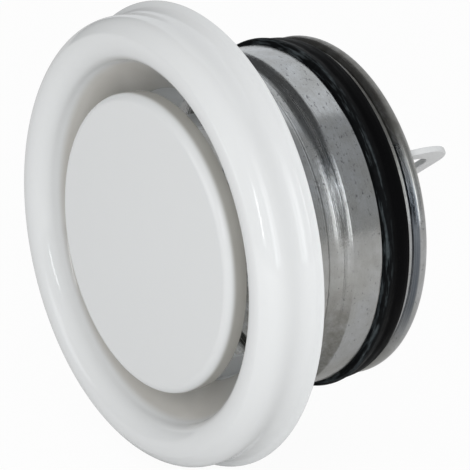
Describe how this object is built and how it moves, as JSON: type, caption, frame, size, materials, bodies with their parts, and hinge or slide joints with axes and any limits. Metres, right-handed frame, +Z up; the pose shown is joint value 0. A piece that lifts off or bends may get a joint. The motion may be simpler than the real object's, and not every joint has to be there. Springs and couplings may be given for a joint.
{
  "type": "ventilation disc valve",
  "caption": "Round ceiling or wall valve for exhaust air: a glossy ring with a central disc on a threaded spindle, and a steel mounting sleeve with a rubber lip seal.",
  "frame": {"origin": "on the valve's axis, in the wall plane where the sleeve's flange and the ring's rim lie", "axes": "+Y along the axis into the wall and the duct, so the disc faces -Y; +Z up; +X to the right of someone who looks into the duct"},
  "size_m": [0.135, 0.0963, 0.135],
  "materials": {
    "steel_sheet": "hot-dip galvanised sheet, slightly mottled",
    "rubber": "smooth black rubber with a soft sheen",
    "white_plastic": "glossy white polypropylene",
    "foam": "closed-cell foam",
    "disc_plastic": "glossy white polypropylene",
    "zinc_steel": "bright zinc-plated steel"
  },
  "bodies": {
    "sleeve": {"mounting_sleeve": "steel_sheet", "rubber_seal": "rubber"},
    "ring": {"valve_body": "white_plastic", "foam_gasket": "foam"},
    "disc_carrier": {"disc_washer": "zinc_steel"},
    "disc_unit": {"disc": "disc_plastic", "spindle": "zinc_steel", "disc_nut": "zinc_steel"},
    "lock_carrier": {"lock_washer": "zinc_steel"},
    "lock": {"lock_nut": "zinc_steel"}
  },
  "joints": [
    {"name": "ring_pull", "type": "slide", "parent": "sleeve", "child": "ring", "axis": [0, -1, 0], "range_m": [0, 0.08]},
    {"name": "disc_travel", "type": "slide", "parent": "ring", "child": "disc_carrier", "axis": [0, 1, 0], "range_m": [0, 0.0076]},
    {"name": "disc_turn", "type": "hinge", "parent": "disc_carrier", "child": "disc_unit", "pos_m": [0, 0, 0], "axis": [0, 1, 0], "range_deg": [0, 2160]},
    {"name": "lock_travel", "type": "slide", "parent": "disc_unit", "child": "lock_carrier", "axis": [0, 1, 0], "range_m": [0, 0.0033]},
    {"name": "lock_turn", "type": "hinge", "parent": "lock_carrier", "child": "lock", "pos_m": [0, 0, 0], "axis": [0, 1, 0], "range_deg": [0, 900]}
  ],
  "couplings": [
    {"joint": "disc_travel", "follows": "disc_turn", "m_per_rad": 0.00019894},
    {"joint": "lock_travel", "follows": "lock_turn", "m_per_rad": 0.00019894}
  ]
}
